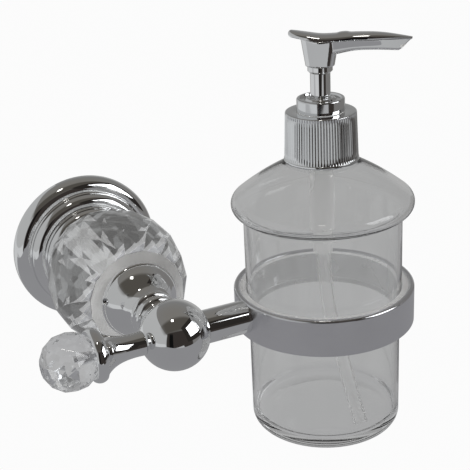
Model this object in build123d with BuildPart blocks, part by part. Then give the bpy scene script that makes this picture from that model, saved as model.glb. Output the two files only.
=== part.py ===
"""Wall mounted soap dispenser: a crystal and chrome holder carries a glass bottle with a press pump.

Millimetres, +Z up. The origin is the centre of the wall plate on the wall plane y = 0.
The wall is on the +Y side, the post stands out along -Y, the bottle hangs on the +X side.
"""

from build123d import *
from math import asin, atan2, cos, degrees, pi, radians, sin, sqrt
import os

os.makedirs("parts", exist_ok=True)

# ---------------------------------------------------------------- driving dimensions
reach = 114.0  # wall plane to the line on which ball, arms and bottle axis lie
bottle_x = 70.0  # post axis to bottle axis
finial_x = -44.3  # post axis to the centre of the small crystal

plate_r = 25.0  # wall plate
plate_t = 3.0
screw_spacing = 34.0  # two wall screws on a horizontal line
screw_hole_r = 2.4
boss_r = 11.0
boss_end = 13.0

escutcheon_r = 35.4
escutcheon_depth = 19.7
escutcheon_wall = 1.4

crystal_back = 20.5  # distances from the wall along the post
crystal_front = 73.5
crystal_r = 31.2
crystal_end_r = 22.0
crystal_sides = 16

rod_r = 3.0  # tie rod through the post
bore_gap = 0.4
bell_start = 74.3
bell_r = 17.4
bell_end = 89.6
hub_r = 9.0
hub_end = 85.0

ball_r = 14.7
ball_gap = 0.02

finial_r = 12.0
finial_sides = 12

arm_r = 7.0  # plain rod between the ball and the ring
arm_bore_r = 3.6
stud_r = 3.0

ring_r = 38.5
ring_wall = 2.6
ring_top = 7.0
ring_bottom = -8.9
ring_lip = 1.0

glass_low_r = 32.4
glass_r = 33.2
glass_wall = 1.6
glass_bottom = -57.6
glass_base = 4.5
glass_step_z = -4.6  # shoulder on which the bottle stands in the ring
bulge_r = 38.1
bulge_z = 44.3
neck_r = 12.3
neck_bore_r = 9.4
neck_top = 78.0

thread_pitch = 4.0
thread_turns = 1.5
thread_z = 67.5

closure_bottom = 62.0
closure_top = 82.5
closure_bottom_r = 15.2
closure_top_r = 14.5
closure_foil = 0.6
flute_count = 64
flute_r = 0.42

chaplet_r = 9.75
chaplet_top = 88.0
sleeve_r = 4.08
sleeve_wall = 0.6
running_gap = 0.08

chamber_r = 5.2
chamber_bore_r = 4.2
chamber_bottom = 21.5
cage_z = 32.5
spring_low = 33.5
spring_high = 52.0
spring_wire_r = 0.4
spring_turns = 8
piston_top = 58.0
valve_ball_r = 1.7

tube_r = 3.0
tube_bore_r = 2.2
tube_end = -50.0

head_bottom = 100.8
spout_turn = -36.0  # degrees about +Z from +X

# ---------------------------------------------------------------- frames and axes
ball_centre = (0, -reach, 0)
post_axis = Axis.Y
arm_axis = Axis(ball_centre, (1, 0, 0))
bottle_axis = Axis((bottle_x, -reach, 0), (0, 0, 1))
bottle_section = Plane(origin=(bottle_x, -reach, 0), x_dir=(1, 0, 0), z_dir=(0, -1, 0))
arm_section = Plane(origin=ball_centre, x_dir=(1, 0, 0), z_dir=(0, 0, 1))
spout_dir = (cos(radians(spout_turn)), sin(radians(spout_turn)), 0)
spout_side = (spout_dir[1], -spout_dir[0], 0)
spout_section = Plane(origin=(bottle_x, -reach, 0), x_dir=spout_dir, z_dir=spout_side)


# ---------------------------------------------------------------- helpers
def save(builder, name):
    """Label a finished piece with its node name and write it."""
    builder.part.label = name
    export_step(builder.part, f"parts/{name}.step")


def turned_on_post(points):
    """Round piece on the post: points are (radius, distance from the wall)."""
    with BuildPart() as piece:
        with BuildSketch(Plane.XY):
            with BuildLine():
                Polyline([(r, -depth) for r, depth in points], close=True)
            make_face()
        revolve(axis=post_axis)
    return piece


def turned_on_arm(points):
    """Round piece on the arm line: points are (x, radius)."""
    with BuildPart() as piece:
        with BuildSketch(arm_section):
            with BuildLine():
                Polyline(points, close=True)
            make_face()
        revolve(axis=arm_axis)
    return piece


def turned_on_bottle(points):
    """Round piece on the bottle axis: points are (radius, z)."""
    with BuildPart() as piece:
        with BuildSketch(bottle_section):
            with BuildLine():
                Polyline(points, close=True)
            make_face()
        revolve(axis=bottle_axis)
    return piece


def faceted_bead(rings, sides, place):
    """Cut crystal: rings of corners, every second ring turned half a step, with flat ends."""
    corners = []
    for index, (along, radius) in enumerate(rings):
        turn = (index % 2) * pi / sides
        angles = [turn + 2 * pi * step / sides for step in range(sides)]
        corners.append([place(along, radius * cos(a), radius * sin(a)) for a in angles])
    faces = [Face(Wire.make_polygon(corners[0])), Face(Wire.make_polygon(corners[-1]))]
    for index in range(len(rings) - 1):
        near, far = corners[index], corners[index + 1]
        for step in range(sides):
            after = (step + 1) % sides
            if index % 2 == 0:
                triangles = [(near[step], near[after], far[step]), (far[step], far[after], near[after])]
            else:
                triangles = [(near[step], near[after], far[after]), (far[step], far[after], near[step])]
            faces += [Face(Wire.make_polygon(triangle)) for triangle in triangles]
    return Solid(Shell(faces))


def barrel_ring_radius(along, start, end, end_r, middle_r):
    """Radius of a barrel outline that swells evenly from end_r to middle_r and back."""
    share = (along - start) / (end - start)
    return end_r + (middle_r - end_r) * sin(pi * share) ** 0.8


# ---------------------------------------------------------------- holder: wall side
groove_depth = 8.0

with BuildPart() as wall_bracket:
    with BuildSketch(Plane.XY):
        with BuildLine():
            Polyline(
                (0, 0),
                (plate_r, 0),
                (plate_r, -plate_t),
                (boss_r, -plate_t),
                (boss_r, -groove_depth + 1.2),
                (boss_r - 1.2, -groove_depth),
                (boss_r, -groove_depth - 1.2),
                (boss_r, -boss_end),
                (5.0, -boss_end),
                (5.0, -plate_t),
                (0, -plate_t),
                close=True,
            )
        make_face()
    revolve(axis=post_axis)
    with BuildSketch(Plane.XZ):
        with GridLocations(screw_spacing, 1, 2, 1):
            Circle(screw_hole_r)
    extrude(amount=plate_t, both=True, mode=Mode.SUBTRACT)
save(wall_bracket, "wall_bracket")

socket_gap = 0.05
socket_r = 15.0
socket_start = 3.5
socket_end = escutcheon_depth - escutcheon_wall
grub_r = 2.0

with BuildPart() as post_socket:
    with BuildSketch(Plane.XY):
        with BuildLine():
            Polyline(
                (boss_r + socket_gap, -socket_start),
                (socket_r, -socket_start),
                (socket_r, -socket_end),
                (rod_r, -socket_end),
                (rod_r, -boss_end - 1.0),
                (boss_r + socket_gap, -boss_end - 1.0),
                close=True,
            )
        make_face()
    revolve(axis=post_axis)
    with BuildSketch(Plane.XY.offset(1 - boss_r)):
        with Locations((0, -groove_depth)):
            Circle(grub_r)
    extrude(amount=-(socket_r - boss_r + 2), mode=Mode.SUBTRACT)
save(post_socket, "post_socket")

grub_point_z = -(boss_r - 0.25)
grub_end_z = -socket_r
key_r = 0.9

with BuildPart() as socket_grub_screw:
    with BuildSketch(Plane.XY.offset(grub_end_z)):
        with Locations((0, -groove_depth)):
            Circle(grub_r)
    extrude(amount=grub_point_z - grub_end_z)
    chamfer(socket_grub_screw.edges().group_by(Axis.Z)[-1], length=1.1)
    with BuildSketch(Plane.XY.offset(grub_end_z)):
        with Locations((0, -groove_depth)):
            RegularPolygon(key_r, 6)
    extrude(amount=2.0, mode=Mode.SUBTRACT)
save(socket_grub_screw, "socket_grub_screw")

# Three cushion-shaped tiers: (outer radius, start, inner radius, end), each bulging outwards.
tiers = [
    (escutcheon_r, 2.0, 29.4, 8.6),
    (28.9, 9.4, 23.6, 14.2),
    (23.1, 15.0, 20.2, escutcheon_depth),
]
tier_bulge = 0.24


def tier_arc(outer_r, start, inner_r, end, grow):
    """Cushion arc of one tier, bulging by a share of its chord, moved outwards by grow."""
    chord = sqrt((outer_r - inner_r) ** 2 + (end - start) ** 2)
    out_r = (end - start) / chord
    out_depth = (outer_r - inner_r) / chord
    bulge = tier_bulge * chord + grow
    middle_r = (outer_r + inner_r) / 2 + out_r * bulge
    middle_depth = (start + end) / 2 + out_depth * bulge
    return ThreePointArc((outer_r + grow, -start), (middle_r, -middle_depth), (inner_r, -end - grow))


with BuildPart() as escutcheon:
    with BuildSketch(Plane.XY):
        with BuildLine():
            first = tier_arc(*tiers[0], 0)
            second = tier_arc(*tiers[1], 0)
            third = tier_arc(*tiers[2], 0)
            Polyline((0, 0), (escutcheon_r - 0.8, 0), (escutcheon_r, -0.8), first @ 0)
            Polyline(first @ 1, (tiers[1][0], -tiers[0][3]), second @ 0)
            Polyline(second @ 1, (tiers[2][0], -tiers[1][3]), third @ 0)
            Polyline(third @ 1, (0, -escutcheon_depth), (0, 0))
        make_face()
    revolve(axis=post_axis)
    with BuildSketch(Plane.XY):
        with BuildLine():
            first_in = tier_arc(*tiers[0], -escutcheon_wall)
            second_in = tier_arc(*tiers[1], -escutcheon_wall)
            inner_end = socket_end
            Polyline((0, 0), (escutcheon_r - escutcheon_wall, 0), first_in @ 0)
            Polyline(first_in @ 1, (tiers[1][0] - escutcheon_wall, -7.9), second_in @ 0)
            Polyline(second_in @ 1, (21.0, -13.2), (19.0, -inner_end), (0, -inner_end), (0, 0))
        make_face()
    revolve(axis=post_axis, mode=Mode.SUBTRACT)
    with BuildSketch(Plane.XZ.offset(inner_end - 1)):
        Circle(rod_r + bore_gap)
    extrude(amount=5, mode=Mode.SUBTRACT)
    with BuildSketch(Plane.XY.offset(-socket_r - 2)):
        with Locations((0, -groove_depth)):
            Circle(grub_r + 0.4)
    extrude(amount=-(escutcheon_r - socket_r), mode=Mode.SUBTRACT)
save(escutcheon, "escutcheon")

# ---------------------------------------------------------------- holder: crystal post
rear_washer = turned_on_post(
    [
        (rod_r + bore_gap, escutcheon_depth),
        (19.0, escutcheon_depth),
        (19.0, crystal_back),
        (rod_r + bore_gap, crystal_back),
    ]
)
save(rear_washer, "rear_washer")

crystal_rows = 5
crystal_rings = []
for row in range(crystal_rows + 1):
    row_depth = crystal_back + (crystal_front - crystal_back) * row / crystal_rows
    row_r = barrel_ring_radius(row_depth, crystal_back, crystal_front, crystal_end_r, crystal_r)
    crystal_rings.append((row_depth, row_r))

large_bead = faceted_bead(crystal_rings, crystal_sides, lambda along, u, v: (u, -along, v))

with BuildPart() as large_crystal:
    add(large_bead)
    with BuildSketch(Plane.XZ.offset(crystal_back - 1)):
        Circle(rod_r + bore_gap)
    extrude(amount=crystal_front - crystal_back + 2, mode=Mode.SUBTRACT)
save(large_crystal, "large_crystal")

front_washer = turned_on_post(
    [
        (rod_r + bore_gap, crystal_front),
        (16.2, crystal_front),
        (16.2, bell_start),
        (rod_r + bore_gap, bell_start),
    ]
)
save(front_washer, "front_washer")

with BuildPart() as bell_hub:
    with BuildSketch(Plane.XZ.offset(bell_start)):
        Circle(hub_r)
        Circle(rod_r, mode=Mode.SUBTRACT)
    extrude(amount=hub_end - bell_start)
save(bell_hub, "bell_hub")

hub_fit = 0.05
set_screw_depth = 77.6
set_screw_turn = 166.0  # degrees about the post from +X towards +Z
set_screw_r = 1.5
set_screw_end = bell_r - 0.9
set_screw_key_r = 0.75
set_screw_key_depth = 1.5
set_dir = (cos(radians(set_screw_turn)), 0, sin(radians(set_screw_turn)))
set_screw_base = tuple(hub_r * part for part in set_dir)
set_screw_plane = Plane(
    origin=(set_screw_base[0], -set_screw_depth, set_screw_base[2]),
    x_dir=(0, 1, 0),
    z_dir=set_dir,
)

with BuildPart() as bell_cup:
    with BuildSketch(Plane.XY):
        with BuildLine():
            rim = ThreePointArc((16.6, -bell_start), (bell_r, -75.7), (16.7, -77.0))
            dome = Bezier(rim @ 1, (16.3, -79.6), (13.6, -82.6), (11.2, -84.6))
            throat = Bezier(dome @ 1, (9.6, -86.0), (9.0, -87.6), (8.9, -bell_end))
            Polyline(throat @ 1, (0, -bell_end), (0, -bell_start), rim @ 0)
        make_face()
    revolve(axis=post_axis)
    with BuildSketch(Plane.XZ.offset(bell_start - 1)):
        Circle(hub_r + hub_fit)
    extrude(amount=hub_end + 0.4 - bell_start + 1, mode=Mode.SUBTRACT)
    with BuildSketch(Plane.XZ.offset(hub_end)):
        Circle(rod_r + bore_gap)
    extrude(amount=bell_end - hub_end + 1, mode=Mode.SUBTRACT)
    with BuildSketch(set_screw_plane):
        Circle(set_screw_r)
    extrude(amount=bell_r, mode=Mode.SUBTRACT)
save(bell_cup, "bell_cup")

with BuildPart() as bell_set_screw:
    with BuildSketch(set_screw_plane):
        Circle(set_screw_r)
    extrude(amount=set_screw_end - hub_r)
    with BuildSketch(set_screw_plane.offset(set_screw_end - hub_r)):
        RegularPolygon(set_screw_key_r, 6)
    extrude(amount=-set_screw_key_depth, mode=Mode.SUBTRACT)
save(bell_set_screw, "bell_set_screw")

# Turned neck with two beads between the bell and the ball; its end is hollowed to seat the ball.
neck_end = 103.0
beads = [(91.6, 1.9, 8.3), (96.4, 1.6, 8.1)]  # centre depth, bead radius, radius of its centre

with BuildPart() as neck_collar:
    with BuildSketch(Plane.XY):
        with BuildLine():
            Polyline(
                (rod_r + bore_gap, -bell_end),
                (8.9, -bell_end),
                (8.6, -93.8),
                (7.9, -98.6),
                (8.6, -neck_end),
                (rod_r + bore_gap, -neck_end),
                close=True,
            )
        make_face()
    revolve(axis=post_axis)
    for bead_depth, bead_r, bead_centre_r in beads:
        with BuildSketch(Plane.XY):
            with Locations((bead_centre_r, -bead_depth)):
                Circle(bead_r)
        revolve(axis=post_axis)
    with Locations(ball_centre):
        Sphere(ball_r + ball_gap, mode=Mode.SUBTRACT)
save(neck_collar, "neck_collar")

rod_start = boss_end + 1.2
rod_end = reach - 6.0

with BuildPart() as tie_rod:
    with BuildSketch(Plane.XZ.offset(rod_start)):
        Circle(rod_r)
    extrude(amount=rod_end - rod_start)
    chamfer(tie_rod.edges().group_by(Axis.Y)[0], length=0.5)
save(tie_rod, "tie_rod")

# ---------------------------------------------------------------- holder: ball and arms
finial_stud_r = 2.5
finial_stud_end = -25.0

with BuildPart() as joint_ball:
    with Locations(ball_centre):
        Sphere(ball_r)
    with BuildSketch(Plane.XZ.offset(reach - ball_r - 1)):
        Circle(rod_r)
    extrude(amount=ball_r + 1 - 6.0, mode=Mode.SUBTRACT)
    with BuildSketch(Plane(origin=ball_centre, x_dir=(0, 1, 0), z_dir=(1, 0, 0)).offset(6.0)):
        Circle(stud_r)
    extrude(amount=ball_r, mode=Mode.SUBTRACT)
    with BuildSketch(Plane(origin=ball_centre, x_dir=(0, 1, 0), z_dir=(-1, 0, 0)).offset(6.0)):
        Circle(finial_stud_r)
    extrude(amount=ball_r, mode=Mode.SUBTRACT)
save(joint_ball, "joint_ball")

cup_face = -36.2
cup_seat_r = finial_r + 0.25
ball_seat_r = ball_r + ball_gap
arm_foot_r = 5.0


def ball_seat_x(radius):
    """Where the hollow that fits the ball lies, at a radius from the arm line."""
    return -sqrt(ball_seat_r**2 - radius**2)


def cup_seat_x(radius):
    """Where the hollow that holds the small crystal lies, at a radius from the arm line."""
    return finial_x + sqrt(cup_seat_r**2 - radius**2)


cup_rim_r = sqrt(cup_seat_r**2 - (cup_face - finial_x) ** 2)

with BuildPart() as trumpet_arm:
    with BuildSketch(arm_section):
        with BuildLine():
            ball_seat = ThreePointArc(
                (ball_seat_x(finial_stud_r), finial_stud_r),
                (ball_seat_x(3.5), 3.5),
                (ball_seat_x(arm_foot_r), arm_foot_r),
            )
            stem = Line(ball_seat @ 1, (-17.0, 4.9))
            flare = Bezier(stem @ 1, (-24.0, 4.8), (-28.4, 6.4), (-31.2, 9.3))
            groove = Line(flare @ 1, (-31.7, 9.5))
            lip_back = ThreePointArc(groove @ 1, (-32.0, 10.8), (-33.0, 11.2))
            lip = Line(lip_back @ 1, (-34.9, 11.1))
            lip_front = ThreePointArc(lip @ 1, (-35.8, 10.8), (cup_face, 10.0))
            cup_rim = Line(lip_front @ 1, (cup_face, cup_rim_r))
            cup_seat = ThreePointArc(
                cup_rim @ 1,
                (cup_seat_x(6.5), 6.5),
                (cup_seat_x(finial_stud_r), finial_stud_r),
            )
            Line(cup_seat @ 1, ball_seat @ 0)
        make_face()
    revolve(axis=arm_axis)
save(trumpet_arm, "trumpet_arm")

finial_pin_end = finial_x + 1.0

finial_stud = turned_on_arm(
    [
        (-6.2, 0),
        (-6.2, finial_stud_r),
        (finial_stud_end, finial_stud_r),
        (finial_stud_end, 1.6),
        (finial_pin_end, 1.6),
        (finial_pin_end, 0),
    ]
)
save(finial_stud, "finial_stud")

finial_rows = 6
finial_flat = 0.34  # flat end radius as a share of the crystal's radius
finial_rings = []
for row in range(finial_rows + 1):
    lean = asin(finial_flat) + (pi - 2 * asin(finial_flat)) * row / finial_rows
    finial_rings.append((finial_x + finial_r * cos(lean), finial_r * sin(lean)))

small_bead = faceted_bead(finial_rings, finial_sides, lambda along, u, v: (along, u - reach, v))

with BuildPart() as finial_crystal:
    add(small_bead)
    with BuildSketch(Plane(origin=(finial_x + 0.8, -reach, 0), x_dir=(0, 1, 0), z_dir=(1, 0, 0))):
        Circle(1.65)
    extrude(amount=finial_r, mode=Mode.SUBTRACT)
save(finial_crystal, "finial_crystal")

with BuildPart() as ring_arm:
    with BuildSketch(Plane(origin=ball_centre, x_dir=(0, 1, 0), z_dir=(1, 0, 0)).offset(10.0)):
        Circle(arm_r)
        Circle(arm_bore_r, mode=Mode.SUBTRACT)
    extrude(amount=bottle_x - ring_r + 1.0)
    with Locations(ball_centre):
        Sphere(ball_r + ball_gap, mode=Mode.SUBTRACT)
    with BuildSketch(Plane.XY.offset(ring_bottom - 10)):
        with Locations((bottle_x, -reach)):
            Circle(ring_r + ball_gap)
    extrude(amount=40.0, mode=Mode.SUBTRACT)
save(ring_arm, "ring_arm")

stud_head_x = bottle_x - ring_r + ring_wall

with BuildPart() as ring_screw:
    with BuildSketch(Plane(origin=ball_centre, x_dir=(0, 1, 0), z_dir=(1, 0, 0)).offset(6.2)):
        Circle(stud_r)
    extrude(amount=stud_head_x - 6.2 - 1.4)
save(ring_screw, "ring_screw")

ring_inner_r = ring_r - ring_wall

with BuildPart() as holder_ring:
    with BuildSketch(bottle_section):
        with BuildLine():
            Polyline(
                (ring_inner_r - ring_lip, ring_bottom),
                (ring_r, ring_bottom),
                (ring_r, ring_top),
                (ring_inner_r, ring_top),
                (ring_inner_r, ring_bottom + ring_lip),
                (ring_inner_r - ring_lip, ring_bottom + ring_lip),
                close=True,
            )
        make_face()
    revolve(axis=bottle_axis)
    fillet(holder_ring.edges().group_by(Axis.Z)[-1], radius=1.1)
    fillet(holder_ring.edges().group_by(Axis.Z)[0].sort_by(Axis.X)[-1], radius=0.6)
    with BuildSketch(Plane(origin=ball_centre, x_dir=(0, 1, 0), z_dir=(1, 0, 0)).offset(20.0)):
        Circle(stud_r)
    extrude(amount=stud_head_x - 20.0, mode=Mode.SUBTRACT)
save(holder_ring, "holder_ring")

ledge_z = ring_bottom + ring_lip
seat_clear = 0.3
support_top = ring_top - 0.9

support_ring = turned_on_bottle(
    [
        (glass_low_r + seat_clear, ledge_z),
        (ring_inner_r, ledge_z),
        (ring_inner_r, support_top),
        (glass_r + seat_clear, support_top),
        (glass_r + seat_clear, glass_step_z - 0.8),
        (glass_low_r + seat_clear, glass_step_z - 0.8),
    ]
)
save(support_ring, "support_ring")

# ---------------------------------------------------------------- bottle
ridge_depth = 0.8


def thread_ridge(radius, height_out, direction, start_z):
    """Helical ridge about the bottle axis, standing out by height_out outwards (+1) or inwards (-1)."""
    with BuildPart() as ridge:
        with BuildLine():
            path = Helix(
                thread_pitch,
                thread_pitch * thread_turns,
                radius,
                center=(bottle_x, -reach, start_z),
            )
        with BuildSketch(Plane(origin=path @ 0, x_dir=(1, 0, 0), z_dir=path % 0)):
            Polygon(
                (-0.15 * direction, 0.9),
                (-0.15 * direction, -0.9),
                (height_out * direction, -0.35),
                (height_out * direction, 0.35),
                align=None,
            )
        sweep(is_frenet=True)
    return ridge.part


neck_ridge = thread_ridge(neck_r, ridge_depth, 1, thread_z)

corner_r = 4.5
inner_low_r = glass_low_r - glass_wall
inner_bottom = glass_bottom + glass_base
shoulder_foot = (36.3, 47.5)
shoulder_top = (15.8, 60.9)
neck_root_r = 3.4

with BuildPart() as bottle:
    with BuildSketch(bottle_section):
        with BuildLine():
            base = Polyline((0, glass_bottom + 0.6), (22.0, glass_bottom + 0.6), (24.0, glass_bottom))
            foot = Line(base @ 1, (glass_low_r - corner_r, glass_bottom))
            corner = RadiusArc(foot @ 1, (glass_low_r, glass_bottom + corner_r), -corner_r)
            low_wall = Line(corner @ 1, (glass_low_r, glass_step_z - 0.8))
            step = Line(low_wall @ 1, (glass_r, glass_step_z))
            wall = Line(step @ 1, (glass_r, 38.0))
            cove = RadiusArc(wall @ 1, (35.4, 40.3), 2.6)
            bulge_edge = ThreePointArc(cove @ 1, (bulge_r, bulge_z), shoulder_foot)
            shoulder = ThreePointArc(bulge_edge @ 1, (26.6, 54.6), shoulder_top)
            neck_root = RadiusArc(shoulder @ 1, (neck_r, 63.4), neck_root_r)
            neck_wall = Polyline(neck_root @ 1, (neck_r, neck_top), (neck_bore_r, neck_top))
            bore = Line(neck_wall @ 1, (neck_bore_r, 63.0))
            shoulder_in = ThreePointArc(bore @ 1, (25.9, 53.1), (35.0, 46.5))
            bulge_in = ThreePointArc(shoulder_in @ 1, (36.5, 44.3), (34.6, 41.8))
            cove_in = RadiusArc(bulge_in @ 1, (glass_r - glass_wall, 38.6), -4.1)
            wall_in = Line(cove_in @ 1, (glass_r - glass_wall, 0))
            taper_in = Line(wall_in @ 1, (inner_low_r, -8.0))
            low_wall_in = Line(taper_in @ 1, (inner_low_r, inner_bottom + corner_r))
            corner_in = RadiusArc(low_wall_in @ 1, (inner_low_r - corner_r, inner_bottom), corner_r)
            Polyline(corner_in @ 1, (0, inner_bottom), base @ 0)
        make_face()
    revolve(axis=bottle_axis)
    add(neck_ridge)
save(bottle, "bottle")

# ---------------------------------------------------------------- closure
seat_z = neck_top + 1.0  # top of the gasket
flange_t = 1.4
cap_top = closure_top - closure_foil
cap_ceiling = seat_z + flange_t + 0.05
closure_hole_r = chaplet_r + 0.2
foil_low_r = closure_bottom_r - closure_foil
foil_top_r = closure_top_r - closure_foil
cap_bore_r = neck_r + ridge_depth + 0.25
closure_slope = (closure_bottom_r - closure_top_r) / (closure_top - closure_bottom)
flute_lean = degrees(atan2(closure_slope, 1))
flute_start = closure_bottom + 1.7
flute_length = closure_top + 1.0 - flute_start
flute_middle_z = flute_start + flute_length / 2
flute_middle_r = closure_bottom_r + 0.12 - (flute_middle_z - closure_bottom) * closure_slope

with BuildPart() as closure_shell:
    with BuildSketch(bottle_section):
        with BuildLine():
            Polyline(
                (foil_low_r, closure_bottom),
                (closure_bottom_r, closure_bottom),
                (closure_bottom_r + 0.25, closure_bottom + 0.6),
                (closure_bottom_r + 0.15, closure_bottom + 1.4),
                (closure_bottom_r - 0.05, closure_bottom + 1.5),
                (closure_top_r, closure_top - 0.5),
                (closure_top_r - 0.5, closure_top),
                (closure_hole_r, closure_top),
                (closure_hole_r, cap_top),
                (foil_top_r, cap_top),
                close=True,
            )
        make_face()
    revolve(axis=bottle_axis)
    with Locations((bottle_x, -reach, flute_middle_z)):
        with PolarLocations(flute_middle_r, flute_count):
            Cylinder(flute_r, flute_length, rotation=(0, -flute_lean, 0), mode=Mode.SUBTRACT)
save(closure_shell, "closure_shell")

foil_clear = 0.04
cap_foot = closure_bottom + 1.6

cap_sleeve = turned_on_bottle(
    [
        (cap_bore_r, cap_foot),
        (foil_low_r - foil_clear - closure_slope * (cap_foot - closure_bottom), cap_foot),
        (foil_top_r - 2 * foil_clear, cap_top - foil_clear),
        (closure_hole_r, cap_top - foil_clear),
        (closure_hole_r, cap_ceiling),
        (cap_bore_r, cap_ceiling),
    ]
)
cap_ridge = thread_ridge(cap_bore_r, ridge_depth, -1, thread_z - thread_pitch / 2)

with BuildPart() as closure_cap:
    add(cap_sleeve.part)
    add(cap_ridge)
save(closure_cap, "closure_cap")

# ---------------------------------------------------------------- pump body
neck_gasket = turned_on_bottle(
    [
        (neck_bore_r - 1.5, neck_top),
        (neck_r, neck_top),
        (neck_r, seat_z),
        (neck_bore_r - 1.5, seat_z),
    ]
)
save(neck_gasket, "neck_gasket")

upstand_r = 8.9
upstand_top = 86.0
seat_low_z = 28.5
valve_seat_r = 1.1
valve_room_r = 2.2
socket_depth = 5.0

pump_housing = turned_on_bottle(
    [
        (tube_r, chamber_bottom),
        (tube_r + 1.1, chamber_bottom),
        (tube_r + 1.1, seat_low_z),
        (chamber_r, seat_low_z + 2.0),
        (chamber_r, seat_z - 4.0),
        (7.4, seat_z - 2.0),
        (7.4, seat_z),
        (neck_r, seat_z),
        (neck_r, seat_z + flange_t),
        (upstand_r, seat_z + flange_t),
        (upstand_r, upstand_top),
        (upstand_r - 1.4, upstand_top),
        (upstand_r - 1.4, seat_z + flange_t),
        (chamber_bore_r, seat_z),
        (chamber_bore_r, cage_z),
        (valve_room_r, cage_z),
        (valve_room_r, seat_low_z + valve_room_r - valve_seat_r),
        (valve_seat_r, seat_low_z),
        (valve_seat_r, chamber_bottom + socket_depth),
        (tube_r, chamber_bottom + socket_depth),
    ]
)
save(pump_housing, "pump_housing")

chaplet_bottom = closure_top + 0.1
stem_bore_r = sleeve_r + running_gap

locking_collar = turned_on_bottle(
    [
        (upstand_r, chaplet_bottom),
        (chaplet_r, chaplet_bottom),
        (chaplet_r, chaplet_top - 0.7),
        (chaplet_r - 0.7, chaplet_top),
        (8.6, chaplet_top),
        (8.1, chaplet_top - 0.9),
        (6.3, chaplet_top - 0.9),
        (5.9, chaplet_top - 0.1),
        (5.5, chaplet_top + 0.2),
        (stem_bore_r + 0.4, chaplet_top + 0.2),
        (stem_bore_r, chaplet_top - 0.2),
        (stem_bore_r, seat_z + flange_t),
        (5.4, seat_z + flange_t),
        (5.4, upstand_top),
        (upstand_r, upstand_top),
    ]
)
save(locking_collar, "locking_collar")

tube_turn = -84.5  # the foot of the tube leans towards the room
tube_dir = (cos(radians(tube_turn)), sin(radians(tube_turn)), 0)
tube_side = (tube_dir[1], -tube_dir[0], 0)
tube_section = Plane(origin=(bottle_x, -reach, 0), x_dir=tube_dir, z_dir=tube_side)
tube_top = chamber_bottom + socket_depth
tube_route = [(0, tube_top), (0, 19.0), (3.6, -4.0), (25.2, tube_end)]
tube_bends = [60.0, 40.0]

with BuildPart() as dip_tube:
    with BuildLine(tube_section):
        FilletPolyline(*tube_route, radius=tube_bends)
    with BuildSketch(Plane.XY.offset(tube_top)):
        with Locations((bottle_x, -reach)):
            Circle(tube_r)
            Circle(tube_bore_r, mode=Mode.SUBTRACT)
    sweep()
save(dip_tube, "dip_tube")

valve_z = seat_low_z - valve_seat_r + valve_ball_r * sqrt(2) + 0.03

with BuildPart() as valve_ball:
    with Locations((bottle_x, -reach, valve_z)):
        Sphere(valve_ball_r)
save(valve_ball, "valve_ball")

cage_hole_r = 0.8
cage_hole_circle_r = 2.75

with BuildPart() as valve_cage:
    with BuildSketch(Plane.XY.offset(cage_z)):
        with Locations((bottle_x, -reach)):
            Circle(chamber_bore_r)
            with PolarLocations(cage_hole_circle_r, 4):
                Circle(cage_hole_r, mode=Mode.SUBTRACT)
            Circle(cage_hole_r, mode=Mode.SUBTRACT)
    extrude(amount=spring_low - cage_z)
save(valve_cage, "valve_cage")

spring_r = 3.3
spring_rise = (spring_high - spring_low - 2 * spring_wire_r) / spring_turns

with BuildPart() as return_spring:
    with BuildLine():
        coil = Helix(
            spring_rise,
            spring_rise * spring_turns,
            spring_r,
            center=(bottle_x, -reach, spring_low + spring_wire_r),
        )
    with BuildSketch(Plane(origin=coil @ 0, z_dir=coil % 0)):
        Circle(spring_wire_r * 0.96)
    sweep(is_frenet=True)
save(return_spring, "return_spring")

# ---------------------------------------------------------------- plunger
stem_r = sleeve_r - sleeve_wall - 0.02
stem_bore = 1.5
piston_bore_r = 2.3
piston_r = chamber_bore_r - 0.06
stem_top = 108.2

piston = turned_on_bottle(
    [
        (piston_bore_r + 0.05, spring_high + 1.6),
        (piston_r - 0.9, spring_high + 1.6),
        (piston_r, spring_high + 0.4),
        (piston_r, spring_high + 2.0),
        (piston_r - 0.5, spring_high + 2.8),
        (piston_r - 0.5, piston_top - 1.8),
        (piston_r, piston_top - 1.0),
        (piston_r, piston_top),
        (piston_bore_r + 0.05, piston_top),
    ]
)
save(piston, "piston")

pump_stem = turned_on_bottle(
    [
        (stem_bore, spring_high),
        (piston_bore_r + 0.8, spring_high),
        (piston_bore_r + 0.8, spring_high + 1.5),
        (piston_bore_r, spring_high + 1.6),
        (piston_bore_r, piston_top + 0.3),
        (stem_r, piston_top + 0.3),
        (stem_r, stem_top),
        (stem_bore, stem_top),
    ]
)
save(pump_stem, "pump_stem")

# ---------------------------------------------------------------- head
sleeve_bottom = 72.0
ferrule_bottom = 98.1

stem_sleeve = turned_on_bottle(
    [
        (stem_r + 0.02, sleeve_bottom),
        (sleeve_r, sleeve_bottom),
        (sleeve_r, stem_top),
        (stem_r + 0.02, stem_top),
    ]
)
save(stem_sleeve, "stem_sleeve")

stem_ferrule = turned_on_bottle(
    [
        (sleeve_r + 0.02, ferrule_bottom),
        (4.2, ferrule_bottom),
        (5.05, ferrule_bottom + 0.9),
        (5.05, head_bottom),
        (sleeve_r + 0.02, head_bottom),
    ]
)
save(stem_ferrule, "stem_ferrule")

cover_t = 2.4
head_width = 9.2
rear_t = -12.4
tip_t = 36.0
tip_half = 0.9


def saddle(lower):
    """Top line of the head from the raised rear lip to the spout tip, moved down by lower."""
    points = [(-11.4, 115.1), (-5.0, 114.1), (0.5, 113.4), (7.0, 113.6), (14.0, 114.0), (24.0, 113.8)]
    return Spline([(t, z - lower) for t, z in points] + [(tip_t, 112.0 - 0.25 * lower)])


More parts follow.
